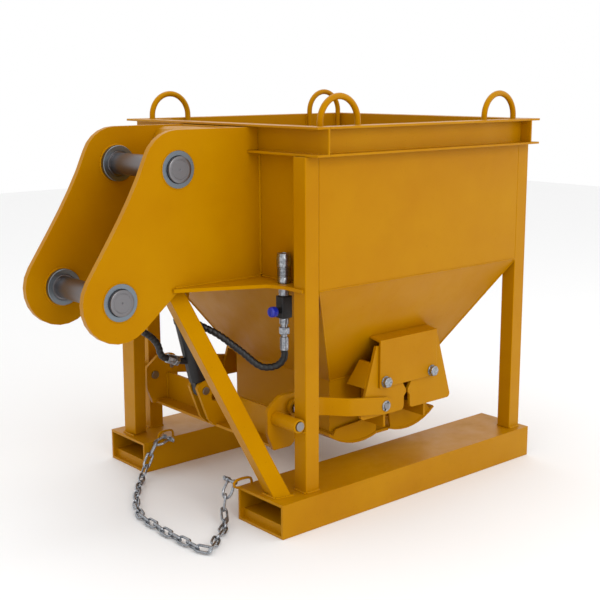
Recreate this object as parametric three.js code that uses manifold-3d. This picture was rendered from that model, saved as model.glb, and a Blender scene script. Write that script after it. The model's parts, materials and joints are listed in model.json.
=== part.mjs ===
// Jaw-discharge concrete skip with an excavator hitch, fork pockets and lifting eyes.
// Millimetres, +Z up. X runs along the fork pockets with the hitch at -X.
// The origin is on the ground under the middle of the bounding box.
import * as THREE from 'three';
import { mergeVertices } from 'three/addons/utils/BufferGeometryUtils.js';
import Module from 'manifold-3d';

const wasm = await Module();
wasm.setup();

// ---------------------------------------------------------------- driving dimensions
const GAP = 0.3; // clearance left between welded or touching pieces
const HOPPER_X = 261; // middle of the hopper box along X
const OUTLET_X = 266; // middle of the discharge jaws along X
const BOX_HALF = 426; // half the outside width of the square hopper box
const BOX_BOTTOM = 679;
const BOX_TOP = 1131;
const SHEET = 5; // hopper sheet thickness
const OUTLET_HALF_X = 220;
const OUTLET_HALF_Y = 236;
const OUTLET_TOP = 345;
const OUTLET_BOTTOM = 180;
const CHANNEL = { depth: 80, flange: 45, web: 6, flangeThick: 6.5 };
const TUBE = 50; // square tube of the legs and braces
const TUBE_WALL = 4;
const POCKET = { x0: -323, x1: 757, y0: 250, y1: 452, top: 100, wall: 8, floor: 24, setBack: 15 };
const EYE = { bar: 9, arch: 70, x: 340, y: 411.4, centreZ: 1140, bottomZ: 1070 };
const EAR = { y0: 150, y1: 170 };
const UPPER_PIN = [-449, 1016];
const LOWER_PIN = [-644, 673];
const UPPER_LOBE = 107;
const LOWER_LOBE = 113;
const BOSS = { outer: 52.5, bore: 37.3, y0: 133, y1: 171.5 };
const HITCH_PIN = { shaft: 31.5, end: 37, length: 362 };
const GUSSET = { z0: 679.3, z1: 690 };
const YOKE_PIVOT = [-236, 304];
const LINK_POINT = [-170, 325]; // where the links meet the yoke
const FOOT_PIN = [-271, 328]; // where the cylinder meets the yoke
const TOP_PIN = [-346, 630]; // where the cylinder hangs from the wrapper
const JAW_PIVOTS = { left: [163, 347], right: [369, 347] };
const JAW_PIN = [163, 271]; // where the links meet the left jaw
const SHELL = { inner: 211, outer: 219, halfY: 253 };
const ARM = { y0: 344, y1: 354 };
const COVER = { y0: 356, y1: 362, x0: 140, x1: 392, z0: 329, z1: 479 };

// ---------------------------------------------------------------- colours
const PAINT = { color: 0xd99a00, roughness: 0.42, metalness: 0.0 };
const STEEL = { color: 0xb9bcc0, roughness: 0.3, metalness: 1.0 };
const ZINC = { color: 0x9a9da0, roughness: 0.45, metalness: 1.0 };
const BLACK = { color: 0x17171a, roughness: 0.5, metalness: 0.0 };
const BLUE = { color: 0x1a2aa8, roughness: 0.4, metalness: 0.0 };

// ---------------------------------------------------------------- solids and booleans
function asSolid(geometry) {
  const bare = geometry.clone();
  bare.deleteAttribute('normal');
  bare.deleteAttribute('uv');
  const merged = mergeVertices(bare, 1e-3);
  const index = merged.index.array;
  const mesh = new wasm.Mesh({
    numProp: 3,
    vertProperties: Float32Array.from(merged.attributes.position.array),
    triVerts: Uint32Array.from(index),
  });
  return new wasm.Manifold(mesh);
}

function asGeometry(solid) {
  const mesh = solid.getMesh();
  const geometry = new THREE.BufferGeometry();
  geometry.setAttribute('position', new THREE.BufferAttribute(mesh.vertProperties, 3));
  geometry.setIndex(new THREE.BufferAttribute(mesh.triVerts, 1));
  geometry.computeVertexNormals();
  return geometry;
}

const join = (...solids) => solids.reduce((whole, next) => whole.add(next));
const cut = (solid, ...tools) => tools.reduce((whole, tool) => whole.subtract(tool), solid);

function block([x0, x1], [y0, y1], [z0, z1]) {
  const geometry = new THREE.BoxGeometry(x1 - x0, y1 - y0, z1 - z0);
  geometry.translate((x0 + x1) / 2, (y0 + y1) / 2, (z0 + z1) / 2);
  return asSolid(geometry);
}

// The span y0..y1 on the near side (side = -1) or on the far side (side = 1).
const span = (side, y0, y1) => (side < 0 ? [-y1, -y0] : [y0, y1]);

function extrude(shape, depth) {
  return new THREE.ExtrudeGeometry(shape, { depth, bevelEnabled: false, curveSegments: 6 });
}

// A plate drawn in X-Z and thick along Y.
function plateXZ(shape, [y0, y1]) {
  const geometry = extrude(shape, y1 - y0);
  geometry.rotateX(Math.PI / 2);
  geometry.translate(0, y1, 0);
  return asSolid(geometry);
}

// A plate drawn in X-Y and thick along Z.
function plateXY(shape, [z0, z1]) {
  const geometry = extrude(shape, z1 - z0);
  geometry.translate(0, 0, z0);
  return asSolid(geometry);
}

// A profile drawn in Y-Z and long along X.
function plateYZ(shape, [x0, x1]) {
  const geometry = extrude(shape, x1 - x0);
  geometry.rotateZ(Math.PI / 2);
  geometry.rotateY(Math.PI / 2);
  geometry.translate(x0, 0, 0);
  return asSolid(geometry);
}

function cylinderY([x, z], radius, [y0, y1], sides = 20) {
  const geometry = new THREE.CylinderGeometry(radius, radius, y1 - y0, sides);
  geometry.translate(x, (y0 + y1) / 2, z);
  return asSolid(geometry);
}

function cylinderZ([x, y], radius, [z0, z1], sides = 12) {
  const geometry = new THREE.CylinderGeometry(radius, radius, z1 - z0, sides);
  geometry.rotateX(Math.PI / 2);
  geometry.translate(x, y, (z0 + z1) / 2);
  return asSolid(geometry);
}

// A straight bar of round section between two points.
function bar(from, to, radius, sides = 12) {
  const start = new THREE.Vector3(...from);
  const end = new THREE.Vector3(...to);
  const along = end.clone().sub(start);
  const geometry = new THREE.CylinderGeometry(radius, radius, along.length(), sides);
  const turn = new THREE.Quaternion();
  turn.setFromUnitVectors(new THREE.Vector3(0, 1, 0), along.clone().normalize());
  geometry.applyQuaternion(turn);
  const middle = start.add(end).multiplyScalar(0.5);
  geometry.translate(middle.x, middle.y, middle.z);
  return asSolid(geometry);
}

// A round bar swept along a curve through the given points.
function sweep(points, radius, sides, steps) {
  const knots = points.map((p) => new THREE.Vector3(...p));
  const curve = new THREE.CatmullRomCurve3(knots, false, 'centripetal');
  const section = new THREE.Shape();
  for (let i = 0; i < sides; i += 1) {
    const angle = (2 * Math.PI * i) / sides;
    const x = radius * Math.cos(angle);
    const y = radius * Math.sin(angle);
    if (i === 0) section.moveTo(x, y);
    else section.lineTo(x, y);
  }
  section.closePath();
  return asSolid(new THREE.ExtrudeGeometry(section, { steps, extrudePath: curve, bevelEnabled: false }));
}

// ---------------------------------------------------------------- outlines
// A closed outline through corners [u, v, radius]; the radius rounds that corner.
function roundedPoints(corners, closed = true) {
  const points = [];
  corners.forEach((corner, i) => {
    const [x, y, radius = 0] = corner;
    const inside = closed || (i > 0 && i < corners.length - 1);
    if (!radius || !inside) {
      points.push(new THREE.Vector2(x, y));
      return;
    }
    const before = corners[(i - 1 + corners.length) % corners.length];
    const after = corners[(i + 1) % corners.length];
    const u = new THREE.Vector2(before[0] - x, before[1] - y).normalize();
    const v = new THREE.Vector2(after[0] - x, after[1] - y).normalize();
    const half = Math.acos(THREE.MathUtils.clamp(u.dot(v), -1, 1)) / 2;
    const centre = u.clone().add(v).normalize().multiplyScalar(radius / Math.sin(half));
    centre.add(new THREE.Vector2(x, y));
    const start = u.multiplyScalar(radius / Math.tan(half)).add(new THREE.Vector2(x, y));
    const end = v.multiplyScalar(radius / Math.tan(half)).add(new THREE.Vector2(x, y));
    const a0 = Math.atan2(start.y - centre.y, start.x - centre.x);
    let turn = Math.atan2(end.y - centre.y, end.x - centre.x) - a0;
    turn = Math.atan2(Math.sin(turn), Math.cos(turn));
    const steps = Math.max(1, Math.ceil(Math.abs(turn) / 0.6));
    for (let k = 0; k <= steps; k += 1) {
      const angle = a0 + (turn * k) / steps;
      points.push(new THREE.Vector2(centre.x + radius * Math.cos(angle), centre.y + radius * Math.sin(angle)));
    }
  });
  return points;
}

const outline = (corners) => new THREE.Shape(roundedPoints(corners));

function arcPoints([x, y], radius, fromDeg, toDeg, steps) {
  const points = [];
  for (let k = 0; k <= steps; k += 1) {
    const angle = THREE.MathUtils.degToRad(fromDeg + ((toDeg - fromDeg) * k) / steps);
    points.push([x + radius * Math.cos(angle), y + radius * Math.sin(angle)]);
  }
  return points;
}

// The outline of a sheet bent along a line of corners [u, v, radius].
function bentStrip(corners, thickness) {
  const line = roundedPoints(corners, false);
  const side = (sign) => line.map((point, i) => {
    const before = line[Math.max(i - 1, 0)];
    const after = line[Math.min(i + 1, line.length - 1)];
    const first = point.clone().sub(before).normalize();
    const second = after.clone().sub(point).normalize();
    const along = first.clone().add(second).normalize();
    const cosine = Math.max(0.5, along.dot(i === 0 ? second : first));
    const normal = new THREE.Vector2(-along.y, along.x);
    return point.clone().addScaledVector(normal, (sign * thickness) / 2 / cosine);
  });
  return new THREE.Shape([...side(1), ...side(-1).reverse()]);
}

function slot([x0, z0], [x1, z1], radius, sides = 7) {
  const heading = THREE.MathUtils.radToDeg(Math.atan2(z1 - z0, x1 - x0));
  return outline([
    ...arcPoints([x1, z1], radius, heading - 90, heading + 90, sides),
    ...arcPoints([x0, z0], radius, heading + 90, heading + 270, sides),
  ]);
}

// ---------------------------------------------------------------- hopper
function ring(x, halfX, halfY, z) {
  return [[x - halfX, -halfY, z], [x + halfX, -halfY, z], [x + halfX, halfY, z], [x - halfX, halfY, z]];
}

// A four-sided pyramid stump between two rectangles.
function stump(bottom, top) {
  const vertices = [...bottom, ...top].flat();
  const faces = [0, 2, 1, 0, 3, 2, 4, 5, 6, 4, 6, 7];
  for (let i = 0; i < 4; i += 1) {
    const j = (i + 1) % 4;
    faces.push(i, j, 4 + j, i, 4 + j, 4 + i);
  }
  const geometry = new THREE.BufferGeometry();
  geometry.setAttribute('position', new THREE.Float32BufferAttribute(vertices, 3));
  geometry.setIndex(faces);
  return asSolid(geometry);
}

// The outside of the sloping funnel grown by a margin; a negative margin gives its inside.
function funnelBody(margin) {
  const low = ring(OUTLET_X, OUTLET_HALF_X + margin, OUTLET_HALF_Y + margin, OUTLET_TOP);
  const high = ring(HOPPER_X, BOX_HALF + margin, BOX_HALF + margin, BOX_BOTTOM - GAP);
  return stump(low, high);
}

function throatBody(margin, z0, z1) {
  const x = [OUTLET_X - OUTLET_HALF_X - margin, OUTLET_X + OUTLET_HALF_X + margin];
  return block(x, [-OUTLET_HALF_Y - margin, OUTLET_HALF_Y + margin], [z0, z1]);
}

function hopperBox() {
  const inner = BOX_HALF - SHEET;
  const x = (half) => [HOPPER_X - half, HOPPER_X + half];
  const outer = block(x(BOX_HALF), [-BOX_HALF, BOX_HALF], [BOX_BOTTOM, BOX_TOP]);
  return cut(outer, block(x(inner), [-inner, inner], [BOX_BOTTOM - 1, BOX_TOP + 1]));
}

// Funnel and throat are one weldment; the throat stops clear of the swinging jaw shells.
function hopperFunnel() {
  const slopes = cut(funnelBody(0), funnelBody(-SHEET));
  const throat = throatBody(0, OUTLET_BOTTOM, OUTLET_TOP);
  const bore = throatBody(-SHEET, OUTLET_BOTTOM - 1, OUTLET_TOP + 1);
  return cut(join(slopes, throat), bore);
}

// ---------------------------------------------------------------- rim of outward channels
function channelShape(outerFace, inward) {
  const { flange, web, flangeThick } = CHANNEL;
  const low = BOX_TOP - CHANNEL.depth;
  const at = (distance) => outerFace + inward * distance;
  return outline([
    [at(0), low], [at(flange), low], [at(flange), BOX_TOP], [at(0), BOX_TOP],
    [at(0), BOX_TOP - flangeThick], [at(flange - web), BOX_TOP - flangeThick],
    [at(flange - web), low + flangeThick], [at(0), low + flangeThick],
  ]);
}

const RIM_HALF = BOX_HALF + GAP + CHANNEL.flange;

function rimAcross(sign) {
  const shape = channelShape(HOPPER_X + sign * RIM_HALF, -sign);
  return plateXZ(shape, [-RIM_HALF, RIM_HALF]);
}

function rimAlong(side) {
  const shape = channelShape(side * RIM_HALF, -side);
  const half = BOX_HALF;
  return plateYZ(shape, [HOPPER_X - half, HOPPER_X + half]);
}

function liftingEye(x, side) {
  const y = side * EYE.y;
  const arch = arcPoints([x, EYE.centreZ], EYE.arch, 180, 0, 8).map(([u, w]) => [u, y, w]);
  const path = [[x - EYE.arch, y, EYE.bottomZ], ...arch, [x + EYE.arch, y, EYE.bottomZ]];
  return sweep(path, EYE.bar, 8, 14);
}

// ---------------------------------------------------------------- frame
function leg(x0, side) {
  const outer = block([x0, x0 + TUBE], span(side, 376, 426), [POCKET.top + GAP, 1050.7]);
  const innerX = [x0 + TUBE_WALL, x0 + TUBE - TUBE_WALL];
  return cut(outer, block(innerX, span(side, 376 + TUBE_WALL, 426 - TUBE_WALL), [0, 1200]));
}

// A bent rod welded to the pocket's inner top edge; the near one overhangs the pocket's mouth.
const STAPLES = {
  near: [[-279, 98], [-279, 112], [-285, 120], [-332, 122.5], [-342, 118], [-344, 110], [-338, 102], [-312, 98]],
  far: [[-262, 98], [-262, 112], [-257, 120], [-214, 122], [-207, 116], [-206, 98]],
};
const STAPLE_Y = 257;

function staple(side) {
  const points = side < 0 ? STAPLES.near : STAPLES.far;
  return sweep(points.map(([x, z]) => [x, side * STAPLE_Y, z]), 4, 6, 12);
}

function forkPocket(side) {
  const { x0, x1, y0, y1, top, wall, floor, setBack } = POCKET;
  const tube = block([x0, x1], span(side, y0, y1), [0, top]);
  const hollow = block([x0 - 1, x1 + 1], span(side, y0 + wall, y1 - wall), [wall, top - wall]);
  const raised = block([x0 + setBack, x1 - setBack], span(side, y0 + wall - 1, y1 - wall + 1), [wall - 1, wall + floor]);
  return join(cut(tube, hollow), raised, staple(side));
}

// Square tube leaning from the pocket top up to the underside of the hitch, between its ears.
function brace(side) {
  const foot = new THREE.Vector3(-276, side * 375.6, POCKET.top);
  const head = new THREE.Vector3(-440, side * 98, GUSSET.z0);
  const along = head.clone().sub(foot).normalize();
  const face = new THREE.Vector3(-0.16, side * 0.987, 0);
  face.addScaledVector(along, -face.dot(along)).normalize();
  const third = new THREE.Vector3().crossVectors(face, along);
  const basis = new THREE.Matrix4().makeBasis(third, face, along);
  const middle = foot.clone().add(head).multiplyScalar(0.5);
  basis.setPosition(middle);
  const length = head.distanceTo(foot) + 120;
  const outer = new THREE.BoxGeometry(TUBE, TUBE, length);
  const inner = new THREE.BoxGeometry(TUBE - 2 * TUBE_WALL, TUBE - 2 * TUBE_WALL, length + 2);
  outer.applyMatrix4(basis);
  inner.applyMatrix4(basis);
  const slab = block([-700, 0], [-600, 600], [POCKET.top + GAP, GUSSET.z0 - GAP]);
  return asSolid(outer).intersect(slab).subtract(asSolid(inner));
}

function cornerGusset(side) {
  const inner = EAR.y1 + GAP;
  const wallX = HOPPER_X - BOX_HALF - GAP;
  const corners = [
    [wallX, inner], [wallX, 375.7], [-215.6, 375.7], [-215.6, 420], [-222, 420], [-222, 345, 30],
    [-238, 292, 30], [-479, 180], [-479, inner],
  ];
  const shape = outline(corners.map(([x, y, r]) => [x, side * y, r]));
  const plate = plateXY(shape, [GUSSET.z0, GUSSET.z1]);
  if (side > 0) return plate;
  return cut(plate, cylinderZ(VALVE_AXIS, 15.5, [600, 750]));
}

// ---------------------------------------------------------------- excavator hitch
function earShape() {
  const wallX = HOPPER_X - BOX_HALF - GAP;
  const notchX = wallX - CHANNEL.flange - GAP;
  const webX = wallX - CHANNEL.web - GAP;
  const low = BOX_TOP - CHANNEL.depth;
  const shape = new THREE.Shape();
  shape.moveTo(wallX, BOX_BOTTOM);
  shape.lineTo(wallX, low - GAP);
  shape.lineTo(notchX, low - GAP);
  shape.lineTo(notchX, low + CHANNEL.flangeThick + GAP);
  shape.lineTo(webX - GAP, low + CHANNEL.flangeThick + GAP);
  shape.lineTo(webX - GAP, UPPER_PIN[1] + UPPER_LOBE);
  arcPoints(UPPER_PIN, UPPER_LOBE, 90, 158, 5).forEach(([x, z]) => shape.lineTo(x, z));
  shape.bezierCurveTo(-593, 945, -672, 835, -738.4, 735.2);
  arcPoints(LOWER_PIN, LOWER_LOBE, 147, 309, 11).forEach(([x, z]) => shape.lineTo(x, z));
  shape.lineTo(-459, BOX_BOTTOM);
  shape.closePath();
  return shape;
}

function hitchEar(side) {
  const y = span(side, EAR.y0, EAR.y1);
  const hole = (pin) => cylinderY(pin, BOSS.outer + GAP, [y[0] - 1, y[1] + 1]);
  return cut(plateXZ(earShape(), y), hole(UPPER_PIN), hole(LOWER_PIN));
}

function pinBoss(pin, side) {
  const y = span(side, BOSS.y0, BOSS.y1);
  return cut(cylinderY(pin, BOSS.outer, y), cylinderY(pin, BOSS.bore, [y[0] - 1, y[1] + 1]));
}

// A stepped pin: full diameter in the bosses, thinner between the ears, chamfered at both ends.
function hitchPin([x, z]) {
  const half = HITCH_PIN.length / 2;
  const step = BOSS.y0;
  const profile = [
    [0, -half], [HITCH_PIN.end - 3, -half], [HITCH_PIN.end, -half + 3],
    [HITCH_PIN.end, -step], [HITCH_PIN.shaft, -step], [HITCH_PIN.shaft, step], [HITCH_PIN.end, step],
    [HITCH_PIN.end, half - 3], [HITCH_PIN.end - 3, half], [0, half],
  ];
  const geometry = new THREE.LatheGeometry(profile.map(([r, y]) => new THREE.Vector2(r, y)), 20);
  geometry.translate(x, 0, z);
  return asSolid(geometry);
}

// The bent plate that closes the hitch behind the pins.
function hitchWrapper() {
  const halfY = EAR.y0 - GAP;
  const corners = [
    [-211, 1113], [-302, 1113, 30], [-402, 874, 30], [-434, 856, 20], [-472, 792, 25], [-492, 684.3, 15],
    [HOPPER_X - BOX_HALF - GAP, 684.3],
  ];
  return plateXZ(bentStrip(corners, 10), [-halfY, halfY]);
}

// ---------------------------------------------------------------- yoke that opens the jaws
function yoke() {
  const endPlate = (side) => {
    const shape = outline([
      [-150, 367, 22], [-222, 367, 20], [-267, 332, 12], [-267, 262, 6], [-246, 209, 4], [-174, 209, 20],
      [-146, 290, 20],
    ]);
    return plateXZ(shape, span(side, 308, 320));
  };
  const web = block([-188, -180], [-309, 309], [209, 305]);
  const flange = block([-236, -181], [-309, 309], [209, 217]);
  const lug = (y) => {
    const lobe = arcPoints(FOOT_PIN, 33, 35, 160, 5);
    const shape = outline([...lobe, [-262, 235], [-236, 209.5], [-181, 209.5], [-181, 290]]);
    return plateXZ(shape, [y, y + 12]);
  };
  const body = join(web, flange, endPlate(-1), endPlate(1), lug(14), lug(-26));
  const pivot = cylinderY(YOKE_PIVOT, 14, [-400, 400]);
  const stub = cylinderY(LINK_POINT, 8.3, [-400, 400], 12);
  const foot = cylinderY(FOOT_PIN, 12.3, [-60, 60]);
  return cut(body, pivot, stub, foot);
}

function pivotSleeve(side) {
  const y = span(side, 320.6, 423);
  return cut(cylinderY(YOKE_PIVOT, 20.2, y), cylinderY(YOKE_PIVOT, 14, [y[0] - 1, y[1] + 1]));
}

const yokePin = (side) => cylinderY(YOKE_PIVOT, 13.6, span(side, 303, 428));

// A pin with a wider head on its outer end.
function headedPin([x, z], radius, headRadius, side, [y0, y1], headThick) {
  const shank = cylinderY([x, z], radius, span(side, y0, y1 - headThick + 0.5), 12);
  return join(shank, cylinderY([x, z], headRadius, span(side, y1 - headThick, y1), 16));
}

// ---------------------------------------------------------------- links and jaws
// A flat bar, joggled outward so that it passes from the yoke to the outside of the jaw arm.
function link(side) {
  const flat = plateXZ(slot(LINK_POINT, JAW_PIN, 27), span(side, 300, 400));
  const path = [[-240, 327], [-62, 327, 40], [14, 360.3, 40], [240, 360.3]];
  const plan = bentStrip(path.map(([x, y, r]) => [x, side * y, r]), 10);
  const bend = plateXY(plan, [200, 400]);
  const open = cylinderY(LINK_POINT, 15.5, [-400, 400]);
  const pinned = cylinderY(JAW_PIN, 10.4, [-400, 400], 12);
  return cut(flat.intersect(bend), open, pinned);
}

// The points of a jaw drawn for the left one; the right one is mirrored about the outlet.
const mirrored = (hand, [x, z, r]) => [hand === 'left' ? x : 2 * OUTLET_X - x, z, r];

function jawArm(hand, side) {
  const pivot = JAW_PIVOTS.left;
  const shoulder = arcPoints(pivot, 97, 78, 0, 4);
  const relief = [[248, 325], [261.6, 304], [261.6, 293], [253, 283], [252, 240, 12]];
  const outer = [[62, 240, 12], [104, 376], [130, 462], [158, 460]];
  const corners = [...shoulder, ...relief, ...outer].map((point) => mirrored(hand, point));
  return plateXZ(outline(corners), span(side, ARM.y0, ARM.y1));
}

function jaw(hand) {
  const [px, pz] = JAW_PIVOTS[hand];
  const out = hand === 'left' ? -1 : 1;
  const bend = (radius, fromDeg, toDeg, steps) => {
    const from = -90 + out * fromDeg;
    const to = -90 + out * toDeg;
    return arcPoints([px, pz], radius, from, to, steps);
  };
  const shellShape = outline([
    ...bend(SHELL.outer, 38, -20.5, 8), ...bend(SHELL.inner, 38, -20.5, 8).reverse(),
  ]);
  const shell = plateXZ(shellShape, [-SHELL.halfY, SHELL.halfY]);
  const parts = [shell];
  const x = (value) => mirrored(hand, [value, 0])[0];
  const sorted = (a, b) => (a < b ? [a, b] : [b, a]);
  if (hand === 'left') parts.push(block([238, 288], [-SHELL.halfY, SHELL.halfY], [139.6, 148]));
  for (const side of [-1, 1]) {
    const end = outline([
      ...bend(SHELL.inner + 4, 33, -19, 6),
      ...[[252, 300], [172, 300], [172, 197], [62, 190]].map((point) => mirrored(hand, point)),
    ]);
    parts.push(plateXZ(end, span(side, 244, 250.5)));
    parts.push(jawArm(hand, side));
    const shelf = sorted(x(172), x(246));
    parts.push(block(shelf, span(side, 245, 345), [250, 258]));
    parts.push(block(sorted(x(172), x(180)), span(side, 245, 345), [197, 300]));
    const wing = outline([[89, 335], [97, 335], [122, 412], [114, 412]].map((p) => mirrored(hand, p)));
    const wingBody = plateXZ(wing, span(side, 262, 345));
    const clear = plateYZ(outline([[0, 320], [side * 262, 320], [side * 300, 420], [0, 420]]), [-100, 700]);
    parts.push(cut(wingBody, clear));
  }
  const bolt = cylinderY([px, pz], 10.4, [-400, 400], 12);
  const tools = [bolt];
  if (hand === 'left') tools.push(cylinderY(JAW_PIN, 10.4, [-400, 400], 12));
  return cut(join(...parts), ...tools);
}

// Cover plate, its top flange back to the slope and the bosses that carry the pivot bolts.
function hingeBracket(side) {
  const { y0, y1, x0, x1, z0, z1 } = COVER;
  const cover = block([x0, x1], span(side, y0, y1), [z0, z1]);
  const roof = plateYZ(outline([
    [side * 290, z1 + 12], [side * (y1), z1 - 1], [side * (y1), z1 - 8], [side * 290, z1 + 5],
  ]), [x0, x1]);
  const boss = ([x, z]) => cylinderY([x, z], 20, span(side, 225, ARM.y0 - 1), 12);
  const bosses = join(boss(JAW_PIVOTS.left), boss(JAW_PIVOTS.right));
  const rib = block([262, 270], span(side, 240, y0 + 1), [355, z1 - 2]);
  const spine = block([160, 372], span(side, 240, 300), [352, 360]);
  const body = join(cover, roof, rib, spine, bosses);
  const bolts = join(
    cylinderY(JAW_PIVOTS.left, 10.4, [-400, 400], 12),
    cylinderY(JAW_PIVOTS.right, 10.4, [-400, 400], 12),
  );
  const wall = join(funnelBody(GAP), throatBody(GAP, OUTLET_BOTTOM, OUTLET_TOP + 1));
  return cut(body, bolts, wall);
}

function hexBolt([x, z], side) {
  const shank = cylinderY([x, z], 10, span(side, 262, 363), 12);
  const washer = cylinderY([x, z], 18, span(side, 362.3, 365.3), 12);
  const head = cylinderY([x, z], 16, span(side, 365, 377.5), 6);
  return join(shank, washer, head);
}

// ---------------------------------------------------------------- hydraulic cylinder
const CYLINDER_AXIS = new THREE.Vector3(TOP_PIN[0] - FOOT_PIN[0], 0, TOP_PIN[1] - FOOT_PIN[1]);
const CYLINDER_LENGTH = CYLINDER_AXIS.length();
CYLINDER_AXIS.normalize();

// A point on the cylinder's axis, measured from the foot pin.
const onCylinder = (distance) => [
  FOOT_PIN[0] + CYLINDER_AXIS.x * distance, 0, FOOT_PIN[1] + CYLINDER_AXIS.z * distance,
];

function cylinderBarrel() {
  const barrel = bar(onCylinder(34), onCylinder(232), 29, 16);
  const gland = bar(onCylinder(226), onCylinder(240), 31, 16);
  const lug = plateXZ(slot(FOOT_PIN, [onCylinder(40)[0], onCylinder(40)[2]], 22), [-12.5, 12.5]);
  const bore = bar(onCylinder(60), onCylinder(250), 16.4, 16);
  const port = bar([-318, 0, 424], [-352, 0, 431], 10, 10);
  const hex = bar([-351, 0, 431], [-389.5, 0, 445.4], 13, 6);
  return cut(join(barrel, gland, lug, port, hex), bore, cylinderY(FOOT_PIN, 12.4, [-60, 60]));
}

function cylinderRod() {
  const rod = bar(onCylinder(110), onCylinder(CYLINDER_LENGTH - 32), 15.9, 16);
  const neck = bar(onCylinder(CYLINDER_LENGTH - 34), onCylinder(CYLINDER_LENGTH - 20), 11.8, 16);
  const eye = cylinderY(TOP_PIN, 26, [-12, 12]);
  return cut(join(rod, neck, eye), cylinderY(TOP_PIN, 16.2, [-60, 60]));
}

function topBracket() {
  const base = block([-385, -315], [-27, 27], [672.5, 678.9]);
  const lug = (y) => plateXZ(outline([
    [-376, 673], [-316, 673], ...arcPoints(TOP_PIN, 24, 0, -180, 6),
  ]), [y, y + 10]);
  return cut(join(base, lug(14), lug(-24)), cylinderY(TOP_PIN, 12.3, [-60, 60]));
}

// ---------------------------------------------------------------- coupler, valve and hose
const VALVE_AXIS = [-192, -306];

function turned(profile, [x, y], sides = 12) {
  const geometry = new THREE.LatheGeometry(profile.map(([r, z]) => new THREE.Vector2(r, z)), sides);
  geometry.rotateX(Math.PI / 2);
  geometry.translate(x, y, 0);
  return asSolid(geometry);
}

function hoseCoupler() {
  return turned([
    [0, 655], [15, 655], [15, 692], [19, 692], [19, 708], [17, 710], [17, 736], [20.5, 739],
    [20.5, 768], [18, 776], [10, 776], [10, 764], [0, 764],
  ], VALVE_AXIS);
}

function flowValve() {
  const body = block([-210, -174], [-322, -290], [590, 654.6]);
  const swivel = turned([[0, 545], [13, 545], [15, 560], [15, 580], [12, 590.5], [0, 590.5]], VALVE_AXIS);
  const fitting = turned([[0, 495.4], [11.5, 495.4], [12.5, 500], [12.5, 546], [0, 546]], VALVE_AXIS);
  const stem = bar([-209, -306, 612], [-222, -306, 612], 6, 12);
  return join(body, swivel, fitting, stem);
}

const valveKnob = () => bar([-222.4, -306, 612], [-244, -306, 612], 15, 16);

const HOSE_ROUTE = [
  [-192, -306, 494], [-192, -305.5, 474], [-205, -291, 450], [-236, -258, 444], [-280, -215, 490],
  [-330, -172, 540], [-378, -112, 579], [-388, -66, 620], [-414, -44, 646], [-458, -34, 662], [-501, -28, 662],
  [-530, -24, 638], [-531, -20, 602], [-506, -16, 568], [-474, -12, 539], [-445, -8, 517], [-423, -4, 490],
  [-413, -1, 463], [-403, 0, 450.8], [-391.6, 0, 446.6],
];

// ---------------------------------------------------------------- chain and shackles
const CHAIN_RADIUS = 12;
const CHAIN_ROUTE = [
  [-359, -230, 50], [-362, -232, 34], [-370, -244, 18], [-396, -282, 12], [-430, -314, 12],
  [-471, -344, 12], [-508, -378, 12], [-532, -394, 12], [-545, -367, 12], [-548, -296, 12],
  [-552, -222, 12], [-547, -144, 12], [-544, -80, 12], [-504, 15, 12], [-429, 123, 12],
  [-372, 190, 14], [-345, 215, 30], [-318, 226, 62], [-308, 227, 80],
];

// A bow shackle: the pin lies along Y through the staple and the bow hangs toward bowPoint.
function shackle(pinPoint, bowPoint, pinEnds) {
  const pin = new THREE.Vector3(...pinPoint);
  const bow = new THREE.Vector3(...bowPoint);
  const along = bow.clone().sub(pin);
  const at = (share, y) => pin.clone().addScaledVector(along, share).add(new THREE.Vector3(0, y, 0)).toArray();
  const loop = [
    at(-0.05, -16), at(0.35, -18), at(0.75, -15), at(0.95, -7), at(1, 0),
    at(0.95, 7), at(0.75, 15), at(0.35, 18), at(-0.05, 16),
  ];
  const [y0, y1] = pinEnds;
  const bolt = cylinderY([pin.x, pin.z], 4.5, [Math.min(y0, y1), Math.max(y0, y1)], 10);
  const eye = cylinderY([pin.x, pin.z], 8, [y1 - 5, y1 + 5], 10);
  return join(sweep(loop, 4, 6, 14), bolt, eye);
}

// ---------------------------------------------------------------- assembly
const skip = new THREE.Group();

function add(name, solid, finish) {
  const mesh = new THREE.Mesh(asGeometry(solid), new THREE.MeshStandardMaterial(finish));
  mesh.name = name;
  skip.add(mesh);
}

add('hopper_box', hopperBox(), PAINT);
add('hopper_funnel', hopperFunnel(), PAINT);
add('rim_channel_front', rimAcross(-1), PAINT);
add('rim_channel_back', rimAcross(1), PAINT);
add('hitch_wrapper', hitchWrapper(), PAINT);

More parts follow.
